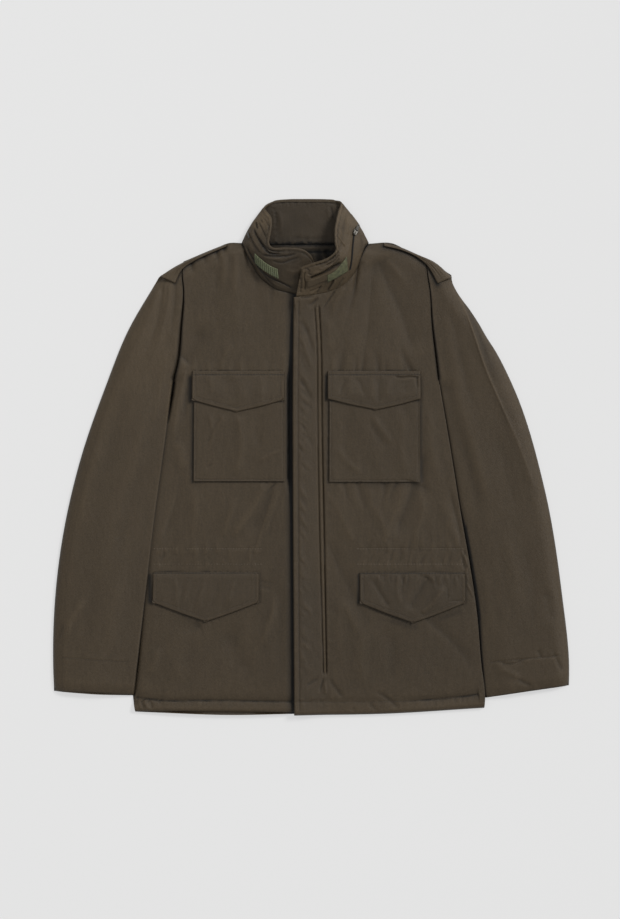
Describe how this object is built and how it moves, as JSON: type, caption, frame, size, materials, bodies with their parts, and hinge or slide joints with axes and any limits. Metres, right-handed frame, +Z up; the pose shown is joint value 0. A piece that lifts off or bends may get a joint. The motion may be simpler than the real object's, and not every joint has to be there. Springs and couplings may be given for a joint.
{
  "type": "field jacket",
  "caption": "Hip-length field jacket laid flat: covered front fly, stand collar with hook-and-loop tab and hood zip, shoulder straps, flapped chest and hip pockets, plain cuffs.",
  "frame": {"origin": "middle of the underside, in plan the middle of the laid jacket", "axes": "+X towards the wearer's left, +Y from the hem to the collar, +Z up off the surface it lies on"},
  "size_m": [0.8256, 0.8259, 0.0421],
  "materials": {
    "shell_cloth": "dark olive-brown nylon and polyester shell cloth, plain weave, low sheen",
    "loop_tape": "matt grey-green woven loop tape",
    "hook_tape": "grey-green moulded hook tape",
    "zip_tape": "dark woven zip tape with its closed chain",
    "zip_metal": "plain plated metal"
  },
  "bodies": {
    "root": {"back": "shell_cloth", "front_left": "shell_cloth", "front_right": "shell_cloth", "sleeve_left_under": "shell_cloth", "sleeve_left_upper": "shell_cloth", "sleeve_right_under": "shell_cloth", "sleeve_right_upper": "shell_cloth", "collar_outer": "shell_cloth", "collar_inner": "shell_cloth", "collar_tab": "shell_cloth", "fly_welt": "shell_cloth", "pocket_chest_left": "shell_cloth", "pocket_chest_right": "shell_cloth", "flap_chest_left": "shell_cloth", "flap_chest_right": "shell_cloth", "flap_hip_left": "shell_cloth", "flap_hip_right": "shell_cloth", "epaulette_left": "shell_cloth", "epaulette_right": "shell_cloth", "loop_patch": "loop_tape", "hook_patch": "hook_tape", "zip_tape": "zip_tape", "zip_end": "zip_metal", "zip_slider": "zip_metal"},
    "zip_pull": {"zip_pull": "zip_metal"}
  },
  "joints": [
    {"name": "zip_pull", "type": "hinge", "parent": "root", "child": "zip_pull", "pos_m": [0.07315, 0.36124, 0.02351], "axis": [0.7953, -0.4939, -0.3514], "range_deg": [0, 140]}
  ]
}
